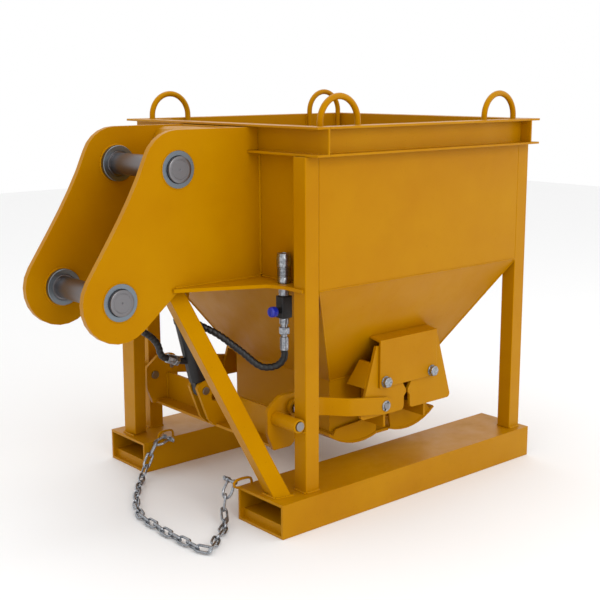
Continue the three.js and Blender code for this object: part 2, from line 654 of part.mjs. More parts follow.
for (const [name, side] of [['near', -1], ['far', 1]]) {
  add(`rim_channel_${name}`, rimAlong(side), PAINT);
  add(`lifting_eye_front_${name}`, liftingEye(HOPPER_X - EYE.x, side), PAINT);
  add(`lifting_eye_back_${name}`, liftingEye(HOPPER_X + EYE.x, side), PAINT);
  add(`leg_front_${name}`, leg(HOPPER_X - BOX_HALF - GAP - TUBE, side), PAINT);
  add(`leg_back_${name}`, leg(HOPPER_X + BOX_HALF + GAP, side), PAINT);
  add(`fork_pocket_${name}`, forkPocket(side), PAINT);
  add(`brace_${name}`, brace(side), PAINT);
  add(`corner_gusset_${name}`, cornerGusset(side), PAINT);
  add(`hitch_ear_${name}`, hitchEar(side), PAINT);
  add(`pin_boss_upper_${name}`, pinBoss(UPPER_PIN, side), STEEL);
  add(`pin_boss_lower_${name}`, pinBoss(LOWER_PIN, side), STEEL);
  add(`pivot_sleeve_${name}`, pivotSleeve(side), PAINT);
  add(`yoke_pin_${name}`, yokePin(side), STEEL);
  add(`hinge_bracket_${name}`, hingeBracket(side), PAINT);
  add(`jaw_bolt_left_${name}`, hexBolt(JAW_PIVOTS.left, side), ZINC);
  add(`jaw_bolt_right_${name}`, hexBolt(JAW_PIVOTS.right, side), ZINC);
  add(`link_${name}`, link(side), PAINT);
  add(`link_stub_${name}`, headedPin(LINK_POINT, 8, 17, side, [304, 340], 5), STEEL);
  add(`link_pin_${name}`, headedPin(JAW_PIN, 10, 17, side, [340, 371], 5), STEEL);
}

add('hitch_pin_upper', hitchPin(UPPER_PIN), STEEL);
add('hitch_pin_lower', hitchPin(LOWER_PIN), STEEL);
add('yoke', yoke(), PAINT);
add('jaw_left', jaw('left'), PAINT);
add('jaw_right', jaw('right'), PAINT);
add('cylinder_foot_pin', cylinderY(FOOT_PIN, 12, [-31, 31], 20), STEEL);
add('cylinder_barrel', cylinderBarrel(), BLACK);
add('cylinder_rod', cylinderRod(), STEEL);
add('cylinder_top_bracket', topBracket(), PAINT);
add('cylinder_top_pin', cylinderY(TOP_PIN, 12, [-29, 29], 20), STEEL);
add('hose_coupler', hoseCoupler(), ZINC);
add('flow_valve', flowValve(), BLACK);
add('valve_knob', valveKnob(), BLUE);
add('hose', sweep(HOSE_ROUTE, 10.5, 8, 40), BLACK);
add('chain', sweep(CHAIN_ROUTE, CHAIN_RADIUS, 8, 30), ZINC);
add('shackle_near', shackle([-331, -229, 112], [-355, -229, 66], [-268, -192]), ZINC);
add('shackle_far', shackle([-248, 229, 110], [-294, 229, 96], [268, 192]), ZINC);

export default skip;
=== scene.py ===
# %% [markdown]
# A jaw-discharge concrete skip: a square steel hopper that a fork lift or an excavator carries.
# The working model is loaded as a fixed frame. Its parts have their true place and size, and
# this script gives them the looks: rounded tube corners, weld beads, a real chain, and paint.

# %% Load the frame
import json
import math

import bmesh
import bpy
import numpy as np
from mathutils import Euler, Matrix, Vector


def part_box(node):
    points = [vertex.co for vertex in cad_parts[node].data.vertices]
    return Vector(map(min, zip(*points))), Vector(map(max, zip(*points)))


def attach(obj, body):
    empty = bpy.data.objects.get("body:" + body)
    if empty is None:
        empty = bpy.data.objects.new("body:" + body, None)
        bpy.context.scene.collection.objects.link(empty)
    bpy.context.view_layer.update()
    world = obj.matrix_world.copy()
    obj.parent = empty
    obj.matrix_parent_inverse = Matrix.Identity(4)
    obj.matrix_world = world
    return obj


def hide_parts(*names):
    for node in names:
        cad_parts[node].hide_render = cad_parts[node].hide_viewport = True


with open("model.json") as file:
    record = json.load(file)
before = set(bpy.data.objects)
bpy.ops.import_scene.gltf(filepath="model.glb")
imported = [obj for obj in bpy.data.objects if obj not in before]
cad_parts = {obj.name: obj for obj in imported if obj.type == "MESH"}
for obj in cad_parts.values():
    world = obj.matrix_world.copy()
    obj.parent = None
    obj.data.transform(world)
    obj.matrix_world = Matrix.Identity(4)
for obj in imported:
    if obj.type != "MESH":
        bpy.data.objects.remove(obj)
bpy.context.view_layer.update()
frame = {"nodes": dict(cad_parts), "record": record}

NODES = frame["nodes"]
print("frame loaded:", len(NODES), "nodes")

# %% [markdown]
# The camera comes first, so that every later piece can be judged through it. It stands at the
# hitch end, a little above the rim, and looks down by about eleven degrees.

# %% Camera
camera_data = bpy.data.cameras.new("camera")
camera_data.lens = 65.63
camera_data.sensor_width = 36.0
camera = bpy.data.objects.new("camera", camera_data)
camera.location = (-2.1353, -2.6470, 1.2539)
camera.rotation_euler = Euler((math.radians(78.61), math.radians(0.21), math.radians(-40.593)))
bpy.context.scene.collection.objects.link(camera)
bpy.context.scene.camera = camera
print("camera at", tuple(round(c, 3) for c in camera.location), "with a", round(camera_data.lens, 1), "mm lens")

# %% [markdown]
# Three helpers turn arrays into meshes. A grid of points becomes a sheet of quads, a circle
# carried along a path becomes a bar, and a profile turned about an axis becomes a lathe part.
# Whole arrays are worked out at once, which is fast and keeps each shape a short formula.

# %% Mesh helpers
MM = 0.001


def object_from(name, points, faces, smooth=True):
    """A mesh object from an (n, 3) array of points in metres and a list of faces."""
    mesh = bpy.data.meshes.new(name)
    mesh.from_pydata(np.asarray(points).reshape(-1, 3).tolist(), [], faces)
    mesh.validate()
    mesh.update()
    mesh.polygons.foreach_set("use_smooth", [smooth] * len(mesh.polygons))
    piece = bpy.data.objects.new(name, mesh)
    bpy.context.scene.collection.objects.link(piece)
    return piece


def grid_faces(rows, columns, close_rows=False, caps=True):
    """Quads joining point (i, j) to (i+1, j+1); columns always close into a ring."""
    last = rows if close_rows else rows - 1
    i = np.repeat(np.arange(last), columns)
    j = np.tile(np.arange(columns), last)
    up = (i + 1) % rows
    right = (j + 1) % columns
    quads = np.stack([i * columns + j, i * columns + right, up * columns + right, up * columns + j], 1)
    faces = quads.tolist()
    if caps and not close_rows:
        faces.append(list(range(columns))[::-1])
        faces.append([(rows - 1) * columns + k for k in range(columns)])
    return faces


def along(points):
    """Unit tangents of a polyline: the difference of its neighbours, made length one."""
    tangent = np.gradient(points, axis=0)
    return tangent / np.linalg.norm(tangent, axis=1, keepdims=True)


def carried_frames(points):
    """Two directions across a path, each turned from the last by the least twist."""
    tangent = along(points)
    start = np.cross(tangent[0], (0.123, 0.456, 0.789))
    side = [start / np.linalg.norm(start)]
    for t in tangent[1:]:
        flat = side[-1] - t * np.dot(side[-1], t)
        side.append(flat / np.linalg.norm(flat))
    side = np.array(side)
    return side, np.cross(tangent, side)


def swept(name, points, radius, sides=16, closed=False):
    """A bar: point(s, a) = path(s) + r(s, a) * (cos a * side + sin a * up)."""
    points = np.asarray(points, float)
    side, up = carried_frames(points)
    angle = np.linspace(0, 2 * np.pi, sides, endpoint=False)
    radius = np.broadcast_to(np.asarray(radius, float), (len(points), sides))
    ring = np.cos(angle)[None, :, None] * side[:, None, :] + np.sin(angle)[None, :, None] * up[:, None, :]
    surface = points[:, None, :] + radius[..., None] * ring
    return object_from(name, surface, grid_faces(len(points), sides, closed))


def turned(name, profile, centre, axis, sides=32, ripple=None):
    """A lathe part: profile rows are (radius, distance along the axis), turned about the axis."""
    profile = np.asarray(profile, float)
    axis = np.asarray(axis, float) / np.linalg.norm(axis)
    helper = (1, 0, 0) if abs(axis[0]) < 0.9 else (0, 1, 0)
    side = np.cross(axis, helper)
    side /= np.linalg.norm(side)
    up = np.cross(axis, side)
    angle = np.linspace(0, 2 * np.pi, sides, endpoint=False)
    radius = profile[:, :1] * np.ones(sides)
    if ripple is not None:
        radius = radius * ripple(angle, profile[:, 1:])
    ring = np.cos(angle)[None, :, None] * side + np.sin(angle)[None, :, None] * up
    surface = np.asarray(centre) + radius[..., None] * ring + profile[:, 1][:, None, None] * axis
    piece = object_from(name, surface, grid_faces(len(profile), sides))
    sharpen(piece, 35)
    return piece


def stack(rows):
    """Profile rows given in millimetres, turned to metres."""
    return [(r * MM, z * MM) for r, z in rows]


def sharpen(piece, degrees):
    """Shades smooth, with a hard edge wherever two faces meet at more than this angle."""
    piece.data.polygons.foreach_set("use_smooth", [True] * len(piece.data.polygons))
    piece.data.set_sharp_from_angle(angle=math.radians(degrees))


def centripetal(points, per_span=12):
    """A Catmull-Rom curve whose knots are the square roots of the chord lengths."""
    points = np.asarray(points, float)
    ends = np.vstack([2 * points[0] - points[1], points, 2 * points[-1] - points[-2]])
    share = np.linspace(0, 1, per_span, endpoint=False)[:, None]
    spans = []
    for a, b, c, d in zip(ends[:-3], ends[1:-2], ends[2:-1], ends[3:]):
        ta = 0.0
        tb = ta + np.sqrt(np.linalg.norm(b - a))
        tc = tb + np.sqrt(np.linalg.norm(c - b))
        td = tc + np.sqrt(np.linalg.norm(d - c))
        t = tb + (tc - tb) * share
        ab = (tb - t) / (tb - ta) * a + (t - ta) / (tb - ta) * b
        bc = (tc - t) / (tc - tb) * b + (t - tb) / (tc - tb) * c
        cd = (td - t) / (td - tc) * c + (t - tc) / (td - tc) * d
        abc = (tc - t) / (tc - ta) * ab + (t - ta) / (tc - ta) * bc
        bcd = (td - t) / (td - tb) * bc + (t - tb) / (td - tb) * cd
        spans.append((tc - t) / (tc - tb) * abc + (t - tb) / (tc - tb) * bcd)
    return np.vstack(spans + [points[-1:]])


def evenly(points, count):
    """The same line with its points an equal distance apart."""
    reach = np.concatenate([[0], np.cumsum(np.linalg.norm(np.diff(points, axis=0), axis=1))])
    wanted = np.linspace(0, reach[-1], count)
    return np.stack([np.interp(wanted, reach, points[:, k]) for k in range(3)], 1), reach[-1]


# %% [markdown]
# Materials are named for their real finishes. One function adds a node with its settings and
# links, and one turns an sRGB hex colour to the linear values that the shader works in.

# %% Material helpers
def linear(hex_colour):
    """sRGB hex to linear RGBA: c / 12.92 below 0.04045, else ((c + 0.055) / 1.055) ** 2.4."""
    values = [int(hex_colour[k:k + 2], 16) / 255 for k in (1, 3, 5)]
    return [c / 12.92 if c <= 0.04045 else ((c + 0.055) / 1.055) ** 2.4 for c in values] + [1.0]


def node(material, kind, settings=None, **inputs):
    """Adds a node. An input is named, or is i and its number; a socket is linked, a value is set."""
    made = material.node_tree.nodes.new("ShaderNode" + kind)
    for key, value in (settings or {}).items():
        setattr(made, key, value)
    for key, value in inputs.items():
        numbered = key[0] == "i" and key[1:].isdigit()
        socket = made.inputs[int(key[1:]) if numbered else key.replace("_", " ")]
        if isinstance(value, bpy.types.NodeSocket):
            material.node_tree.links.new(value, socket)
        else:
            socket.default_value = value
    return made


def new_material(name, base, roughness, metallic=0.0):
    """A Principled material with its colour, roughness and metallic set."""
    material = bpy.data.materials.new(name)
    material.use_nodes = True
    shader = material.node_tree.nodes["Principled BSDF"]
    shader.inputs["Base Color"].default_value = linear(base)
    shader.inputs["Roughness"].default_value = roughness
    shader.inputs["Metallic"].default_value = metallic
    place = node(material, "TexCoord")
    return material, shader, place.outputs["Object"]


def ramp(material, factor, low, high, first, second):
    """A colour ramp between two colours."""
    made = node(material, "ValToRGB", i0=factor)
    made.color_ramp.elements[0].position = low
    made.color_ramp.elements[1].position = high
    made.color_ramp.elements[0].color = first
    made.color_ramp.elements[1].color = second
    return made.outputs["Color"]


def per_metre(size_mm):
    """The noise scale whose blobs are about this size in millimetres."""
    return 1000.0 / size_mm


# %% [markdown]
# Chassis enamel is sprayed over mill scale. The coat is semi-gloss and slightly uneven: broad
# soft changes of tone, a fine orange peel of 3 mm, patches of thin dust and a few dull rubbed
# specks. Broad noise moves the colour, finer noise moves the gloss, and the shine is warm.

# %% Yellow chassis enamel
def chassis_enamel(name, base, deep, dust_amount):
    """Semi-gloss enamel; dust_amount from 0 to 1 dulls and browns it in patches."""
    material, shader, place = new_material(name, base, 0.4)
    broad = node(material, "TexNoise", Vector=place, Scale=per_metre(260), Detail=3.0, Roughness=0.6)
    tone = ramp(material, broad.outputs["Fac"], 0.32, 0.72, linear(deep), linear(base))
    cloud = node(material, "TexNoise", Vector=place, Scale=per_metre(70), Detail=6.0, Roughness=0.65)
    dust = node(material, "MapRange", Value=cloud.outputs["Fac"], i1=0.56, i2=0.86, i3=0.0, i4=dust_amount)
    dusty = node(material, "Mix", {"data_type": "RGBA"}, i0=dust.outputs["Result"], i6=tone,
                 i7=linear("#6f4c14"))
    speck = node(material, "TexNoise", Vector=place, Scale=per_metre(5), Detail=2.0)
    rub = node(material, "MapRange", Value=speck.outputs["Fac"], i1=0.70, i2=0.76, i3=0.0, i4=0.45)
    worn = node(material, "Mix", {"data_type": "RGBA"}, i0=rub.outputs["Result"], i6=dusty.outputs[2],
                i7=linear("#7c4e06"))
    material.node_tree.links.new(worn.outputs[2], shader.inputs["Base Color"])
    gloss = node(material, "MapRange", Value=cloud.outputs["Fac"], i1=0.35, i2=0.75, i3=0.34, i4=0.52)
    material.node_tree.links.new(gloss.outputs["Result"], shader.inputs["Roughness"])
    peel = node(material, "TexNoise", Vector=place, Scale=per_metre(3), Detail=1.0)
    bump = node(material, "Bump", Strength=0.10, Distance=0.0003, Height=peel.outputs["Fac"])
    material.node_tree.links.new(bump.outputs["Normal"], shader.inputs["Normal"])
    shader.inputs["Specular IOR Level"].default_value = 0.4
    shader.inputs["Specular Tint"].default_value = linear("#ffb400")
    return material


ENAMEL = chassis_enamel("yellow_chassis_enamel", "#b27c00", "#aa7100", 0.08)
SKID_ENAMEL = chassis_enamel("yellow_enamel_dusty", "#b27c00", "#a87000", 0.20)


# %% [markdown]
# The pins and bosses are turned from bright bar. Turning leaves fine rings about the axis, and
# the gloss and a very shallow bump follow those rings. Zinc plate is duller and mottled.

# %% Metals, rubber and plastic
def turned_steel(name, base, rough, band_mm, axis, centre_mm=(0.0, 0.0, 0.0)):
    """Bright steel with tool marks: rings about one axis move roughness and bump."""
    material, shader, place = new_material(name, base, rough, 1.0)
    moved = node(material, "VectorMath", {"operation": "SUBTRACT"}, i0=place, i1=[c * 0.001 for c in centre_mm])
    marks = node(material, "TexWave", {"wave_type": "RINGS", "rings_direction": axis}, Vector=moved.outputs[0],
                 Scale=per_metre(band_mm) / 6.28, Distortion=0.4, Detail=1.0)
    grain = node(material, "TexNoise", Vector=place, Scale=per_metre(9), Detail=5.0)
    both = node(material, "Math", {"operation": "MULTIPLY"}, i0=marks.outputs["Fac"], i1=grain.outputs["Fac"])
    gloss = node(material, "MapRange", Value=both.outputs[0], i1=0.0, i2=0.7, i3=rough - 0.04, i4=rough + 0.08)
    material.node_tree.links.new(gloss.outputs["Result"], shader.inputs["Roughness"])
    bump = node(material, "Bump", Strength=0.05, Distance=0.0001, Height=marks.outputs["Fac"])
    material.node_tree.links.new(bump.outputs["Normal"], shader.inputs["Normal"])
    return material


def plated(name, base, dark, rough, blotch_mm):
    """Zinc plate: blotches move its tone and gloss."""
    material, shader, place = new_material(name, base, rough, 1.0)
    blotch = node(material, "TexNoise", Vector=place, Scale=per_metre(blotch_mm), Detail=5.0, Roughness=0.6)
    tone = ramp(material, blotch.outputs["Fac"], 0.38, 0.66, linear(dark), linear(base))
    material.node_tree.links.new(tone, shader.inputs["Base Color"])
    gloss = node(material, "MapRange", Value=blotch.outputs["Fac"], i1=0.3, i2=0.7,
                 i3=rough + 0.12, i4=rough - 0.06)
    material.node_tree.links.new(gloss.outputs["Result"], shader.inputs["Roughness"])
    return material


def soft_dark(name, base, rough, grain_mm, depth):
    """Black paint or rubber: a fine grain lifts the surface and scatters its gloss."""
    material, shader, place = new_material(name, base, rough)
    grain = node(material, "TexNoise", Vector=place, Scale=per_metre(grain_mm), Detail=3.0)
    gloss = node(material, "MapRange", Value=grain.outputs["Fac"], i1=0.3, i2=0.7,
                 i3=rough - 0.1, i4=rough + 0.12)
    material.node_tree.links.new(gloss.outputs["Result"], shader.inputs["Roughness"])
    bump = node(material, "Bump", Strength=0.25, Distance=depth, Height=grain.outputs["Fac"])
    material.node_tree.links.new(bump.outputs["Normal"], shader.inputs["Normal"])
    return material


PIN_STEEL = turned_steel("turned_bright_steel", "#8f8d8e", 0.33, 1.6, "Y")
UPPER_PIN_STEEL = turned_steel("turned_steel_upper_pin", "#7c7a7c", 0.33, 2.5, "Y", (-449, 0, 1016))
LOWER_PIN_STEEL = turned_steel("turned_steel_lower_pin", "#7c7a7c", 0.33, 2.5, "Y", (-644, 0, 673))
FACE_STEEL = turned_steel("faced_bright_steel", "#7b848c", 0.38, 1.2, "Y")
ZINC = plated("zinc_plated_steel", "#b4b7bc", "#7f8389", 0.30, 6)
CHROME = turned_steel("hard_chrome_rod", "#d2d4d8", 0.12, 0.8, "Y")
BLACK_PAINT = soft_dark("satin_black_paint", "#0e0e10", 0.45, 4, 0.0002)
HOSE_WRAP = soft_dark("black_spiral_guard", "#0d0d0f", 0.42, 2, 0.0001)
KNOB_BLUE = soft_dark("blue_moulded_knob", "#16259a", 0.32, 3, 0.0001)
print("materials made:", len(bpy.data.materials))


def finish_piece(piece, body, material, slot_name, *stood_for):
    """Puts a piece on its body, with its finish and the working parts that it stands for."""
    piece.data.materials.clear()
    piece.data.materials.append(material)
    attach(piece, body)
    if stood_for:
        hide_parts(*stood_for)
    return piece


# %% [markdown]
# The chain that keeps the skip from sliding off the tines is a free cord. Its centreline is the
# route of the working model's tube. Each link is a wire bent round a stadium, and the links
# lie along the line a pitch apart, each turned a quarter turn from the last.

# %% Chain
CHAIN_ROUTE = MM * np.array([
    (-353, -229, 73), (-358, -230, 52), (-362, -232, 34), (-370, -244, 18), (-396, -282, 12), (-430, -314, 12),
    (-471, -344, 12), (-508, -378, 12), (-532, -394, 12), (-545, -367, 12), (-548, -296, 12),
    (-552, -222, 12), (-547, -144, 12), (-544, -80, 12), (-504, 15, 12), (-429, 123, 12),
    (-372, 190, 14), (-345, 215, 30), (-318, 226, 62), (-308, 227, 80),
    (-290, 229, 101),
], float)
CHAIN_WIDTH = 27 * MM
WIRE = 7.4 * MM
PITCH = 41 * MM


def link_points(round_steps=9, wire_sides=10):
    """One link about the origin: a wire of radius r carried round a stadium in the XY plane."""
    half_width = (CHAIN_WIDTH - WIRE) / 2
    half_length = (PITCH + WIRE) / 2 - half_width
    turn = np.linspace(-np.pi / 2, np.pi / 2, round_steps)
    right = np.stack([half_length + half_width * np.cos(turn), half_width * np.sin(turn)], 1)
    centre = np.vstack([right, -right])
    out = np.vstack([np.stack([np.cos(turn), np.sin(turn)], 1), -np.stack([np.cos(turn), np.sin(turn)], 1)])
    angle = np.linspace(0, 2 * np.pi, wire_sides, endpoint=False)
    flat = centre[:, None, :] + WIRE / 2 * np.cos(angle)[None, :, None] * out[:, None, :]
    height = np.broadcast_to(WIRE / 2 * np.sin(angle)[None, :, None], flat.shape[:2] + (1,))
    return np.concatenate([flat, height], 2)


chain_line = centripetal(CHAIN_ROUTE)
_, chain_length = evenly(chain_line, 10)
link_count = int(round(chain_length / PITCH))
seats, _ = evenly(chain_line, link_count + 1)
middles = (seats[1:] + seats[:-1]) / 2
heading = seats[1:] - seats[:-1]
heading /= np.linalg.norm(heading, axis=1, keepdims=True)
level = np.cross((0.0, 0.0, 1.0), heading)
steep = np.linalg.norm(level, axis=1) < 0.2
level[steep] = (0.0, 1.0, 0.0)
level /= np.linalg.norm(level, axis=1, keepdims=True)
above = np.cross(heading, level)
tilt = np.where(np.arange(link_count) % 2 == 0, math.radians(58), math.radians(-32))[:, None]
across = np.cos(tilt) * level + np.sin(tilt) * above
axes = np.stack([heading, across, np.cross(heading, across)], 1)
one = link_points()
rings, wire_sides = one.shape[:2]
links = np.einsum("pk,nkc->npc", one.reshape(-1, 3), axes) + middles[:, None, :]
link_faces = np.array(grid_faces(rings, wire_sides, close_rows=True))
all_faces = (link_faces[None] + (np.arange(link_count) * rings * wire_sides)[:, None, None]).reshape(-1, 4)
chain = object_from("chain_links", links, all_faces.tolist())
finish_piece(chain, "frame", ZINC, "zinc_steel", "chain")
print("chain:", link_count, "links,", round(chain_length, 3), "m")

# %% [markdown]
# The hose runs from the valve to the cylinder. It wears a spiral guard, a strip wound round
# it, so its radius rises and falls along a helix: r(s, a) = r0 + h * bump(s / pitch - a / 2 pi).

# %% Hose
HOSE_ROUTE = MM * np.array([
    (-192, -306, 494), (-192, -305.5, 474), (-205, -291, 450), (-236, -258, 444), (-280, -215, 490),
    (-330, -172, 540), (-378, -112, 579), (-388, -66, 620), (-414, -44, 646), (-458, -34, 662),
    (-501, -28, 662), (-530, -24, 638), (-531, -20, 602), (-506, -16, 568), (-474, -12, 539),
    (-445, -8, 517), (-423, -4, 490),
    (-413, -1, 463), (-403, 0, 450.8), (-391.6, 0, 446.6),
], float)
HOSE_DIAMETER = 21 * MM
WRAP_PITCH = 15 * MM


def wound_hose(name, line, length, diameter, sides=24):
    """A tube whose radius dips in the narrow joint between one turn of the guard and the next."""
    reach = np.linspace(0, length, len(line))[:, None]
    angle = np.linspace(0, 1, sides, endpoint=False)[None, :]
    phase = (reach / WRAP_PITCH - angle) % 1.0
    joint = np.exp(-((np.minimum(phase, 1 - phase) / 0.11) ** 2))
    crown = 0.5 - 0.5 * np.cos(2 * np.pi * phase)
    radius = diameter / 2 * (0.94 + 0.06 * crown - 0.08 * joint)
    return swept(name, line, radius, sides)


hose_fine, hose_length = evenly(centripetal(HOSE_ROUTE), 460)
hose = wound_hose("hydraulic_hose", hose_fine, hose_length, HOSE_DIAMETER)
finish_piece(hose, "frame", HOSE_WRAP, "black_rubber", "hose")
print("hose:", round(hose_length, 3), "m")

# %% [markdown]
# Plates, channels and tubes keep the working model's shape, but real steel has no knife edges.
# A copy of each is merged, its flat facets are joined, and its edges are rounded: 1.2 mm on a
# cut plate, and the outside radius of drawn square tube, which is about one and a half walls.

# %% Rounded plates and tubes
def rounded_copy(node_name, width_mm, segments=2, limit=28):
    """A merged copy of a working part with a bevel on every edge sharper than the limit."""
    source = NODES[node_name]
    mesh = source.data.copy()
    mesh.name = node_name + "_formed"
    work = bmesh.new()
    work.from_mesh(mesh)
    bmesh.ops.remove_doubles(work, verts=work.verts, dist=2e-5)
    bmesh.ops.dissolve_limit(work, angle_limit=math.radians(1.0), verts=work.verts, edges=work.edges)
    work.to_mesh(mesh)
    work.free()
    piece = bpy.data.objects.new(node_name + "_formed", mesh)
    bpy.context.scene.collection.objects.link(piece)
    sharpen(piece, limit)
    bevel = piece.modifiers.new("edge", "BEVEL")
    bevel.width = width_mm * MM
    bevel.segments = segments
    bevel.limit_method = "ANGLE"
    bevel.angle_limit = math.radians(limit)
    bevel.use_clamp_overlap = True
    bevel.harden_normals = True
    return piece


BODY_OF = {name: body for body, names in frame["record"]["behaviour"]["bodies"].items() for name in names}
SLOT_OF = {row["node"]: row["material_slot"] for row in frame["record"]["subparts"]}
TUBE_EDGE = {"leg": 4.0, "brace": 4.0, "fork_pocket": 5.0}
FINISH = {"yellow_paint": ENAMEL, "machined_steel": PIN_STEEL, "zinc_steel": ZINC, "chromed_rod": CHROME,
          "black_paint": BLACK_PAINT, "black_rubber": HOSE_WRAP, "blue_plastic": KNOB_BLUE}
SHAPED_LATER = ("lifting_eye", "hitch_pin", "pin_boss", "jaw_bolt", "shackle", "valve_knob", "hose", "chain",
                "flow_valve", "hose_coupler", "link_pin", "cylinder_rod")

for name in sorted(NODES):
    if name.startswith(SHAPED_LATER):
        continue
    width = next((w for start, w in TUBE_EDGE.items() if name.startswith(start)), 1.2)
    copy = rounded_copy(name, width, 3 if width > 2 else 2)
    material = SKID_ENAMEL if name.startswith("fork_pocket") else FINISH[SLOT_OF[name]]
    finish_piece(copy, BODY_OF[name], material, SLOT_OF[name], name)
print("rounded copies made")


# %% [markdown]
# The lifting eyes are round bar bent to an arch, and their legs are welded inside the rim. A
# fine sweep takes the place of the coarse working bar.

# %% Lifting eyes
def centre_of(name):
    """Middle of a working part's box, in metres."""
    low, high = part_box(name)
    return (np.array(low) + np.array(high)) / 2


EYE_ARCH = 70 * MM
EYE_CENTRE_Z = 1140 * MM
EYE_FOOT_Z = 1070 * MM
for name in sorted(n for n in NODES if n.startswith("lifting_eye")):
    x, y, _ = centre_of(name)
    turn = np.linspace(np.pi, 0, 40)
    arch = np.stack([x + EYE_ARCH * np.cos(turn), 0 * turn + y, EYE_CENTRE_Z + EYE_ARCH * np.sin(turn)], 1)
    foot = np.array([[x - EYE_ARCH, y, EYE_FOOT_Z], [x - EYE_ARCH, y, EYE_CENTRE_Z - 0.01]])
    line = np.vstack([foot, arch, foot[::-1] + [2 * EYE_ARCH, 0, 0]])
    eye = swept(name + "_bar", line, 9 * MM, 20)
    sharpen(eye, 50)
    finish_piece(eye, "frame", ENAMEL, "yellow_paint", name)

# %% [markdown]
# The hitch pins are turned steel: a faced head with a chamfer, a shallow groove and a centre
# drilling, full diameter through the bosses and a thinner shaft between the ears.

# %% Hitch pins and bosses
UPPER_PIN = (-449, 1016)
LOWER_PIN = (-644, 673)
PIN_END = 37 * MM
PIN_SHAFT = 31.5 * MM
PIN_HALF = 181 * MM
BOSS_INNER = 133 * MM
HEAD = [(0.0, 3.0), (1.2, 2.2), (3.2, 0.0), (25.0, 0.0), (25.6, 0.7), (27.2, 0.7), (27.8, 0.0), (34.4, 0.0),
        (36.3, 0.8), (37.0, 2.6)]


def pin_profile():
    """Half of the pin from its end to its middle, then the same mirrored."""
    half = [(r * MM, -PIN_HALF + z * MM) for r, z in HEAD]
    half += [(PIN_END, -BOSS_INNER - 1 * MM), (PIN_END - 1 * MM, -BOSS_INNER), (PIN_SHAFT, -BOSS_INNER),
             (PIN_SHAFT, -BOSS_INNER + 4 * MM)]
    return half + [(r, -z) for r, z in half[::-1]]


for name, steel in (("hitch_pin_upper", UPPER_PIN_STEEL), ("hitch_pin_lower", LOWER_PIN_STEEL)):
    x, _, z = centre_of(name)
    pin = turned(name + "_turned", pin_profile(), (x, 0, z), (0, 1, 0), 64)
    finish_piece(pin, "frame", steel, "machined_steel", name)

BOSS_OUTER = 52.5 * MM
BOSS_BORE = 37.3 * MM
for name in sorted(n for n in NODES if n.startswith("pin_boss")):
    low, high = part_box(name)
    x, _, z = centre_of(name)
    y0, y1 = low[1], high[1]
    edge = 1.4 * MM
    profile = [(BOSS_BORE, y0 + edge), (BOSS_BORE + edge, y0), (BOSS_OUTER - edge, y0), (BOSS_OUTER, y0 + edge),
               (BOSS_OUTER, y1 - edge), (BOSS_OUTER - edge, y1), (BOSS_BORE + edge, y1), (BOSS_BORE, y1 - edge)]
    axis_points = np.array(profile)
    angle = np.linspace(0, 2 * np.pi, 64, endpoint=False)
    ring = np.stack([np.sin(angle), 0 * angle, np.cos(angle)], 1)
    surface = axis_points[:, None, :1] * ring + axis_points[:, None, 1:] * np.array([0, 1, 0])
    surface += np.array([x, 0, z])
    boss = object_from(name + "_ring", surface, grid_faces(len(profile), 64, close_rows=True))
    sharpen(boss, 35)
    finish_piece(boss, "frame", FACE_STEEL, "machined_steel", name)

# %% [markdown]
# Bolts, link pins and shackles are small bright hardware. A hexagon head is a short prism whose
# corners are cut by a cone, over a washer; the link pins carry a washer and a split pin.

# %% Bolts and pins
HEX_FLAT = 15 * MM


def hexagon(angle):
    """Radius of a regular hexagon over its across-flats half width, by angle."""
    sector = (angle + np.pi / 6) % (np.pi / 3) - np.pi / 6
    return 1 / np.cos(sector)


def hex_head(name, centre, outward):
    """A head of 30 mm across flats: a hexagon whose far corners are turned off at 30 degrees."""
    levels = np.array([0.0, 9.5, 11.2, 12.2])
    turned_off = np.array([2.0, 1.156, 1.08, 0.93])
    angle = np.linspace(0, 2 * np.pi, 72, endpoint=False)
    radius = HEX_FLAT * np.minimum(hexagon(angle)[None, :], turned_off[:, None])
    ring = np.stack([np.sin(angle), 0 * angle, np.cos(angle)], 1)
    surface = radius[..., None] * ring + (levels * MM * outward)[:, None, None] * np.array([0, 1, 0]) + centre
    faces = grid_faces(len(levels), 72)
    if outward < 0:
        faces = [face[::-1] for face in faces]
    piece = object_from(name, surface, faces)
    sharpen(piece, 25)
    return piece


for name in sorted(n for n in NODES if n.startswith("jaw_bolt")):
    low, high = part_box(name)
    x, _, z = centre_of(name)
    outward = -1 if high[1] < 0 else 1
    face_y = 362.3 * MM * outward
    washer = turned(name + "_washer", [(0, 0), (17.2 * MM, 0), (18 * MM, 0.5 * MM), (18 * MM, 2.4 * MM),
                                       (17.4 * MM, 3 * MM), (0, 3 * MM)], (x, face_y, z), (0, outward, 0), 40)
    finish_piece(washer, "frame", ZINC, "zinc_steel")
    head = hex_head(name + "_head", np.array([x, face_y + 3 * MM * outward, z]), outward)
    finish_piece(head, "frame", ZINC, "zinc_steel", name)
    shank = turned(name + "_shank", [(0, 0), (10 * MM, 0), (10 * MM, 98 * MM), (9 * MM, 99 * MM), (0, 99 * MM)],
                   (x, face_y, z), (0, -outward, 0), 24)
    finish_piece(shank, "frame", ZINC, "zinc_steel")

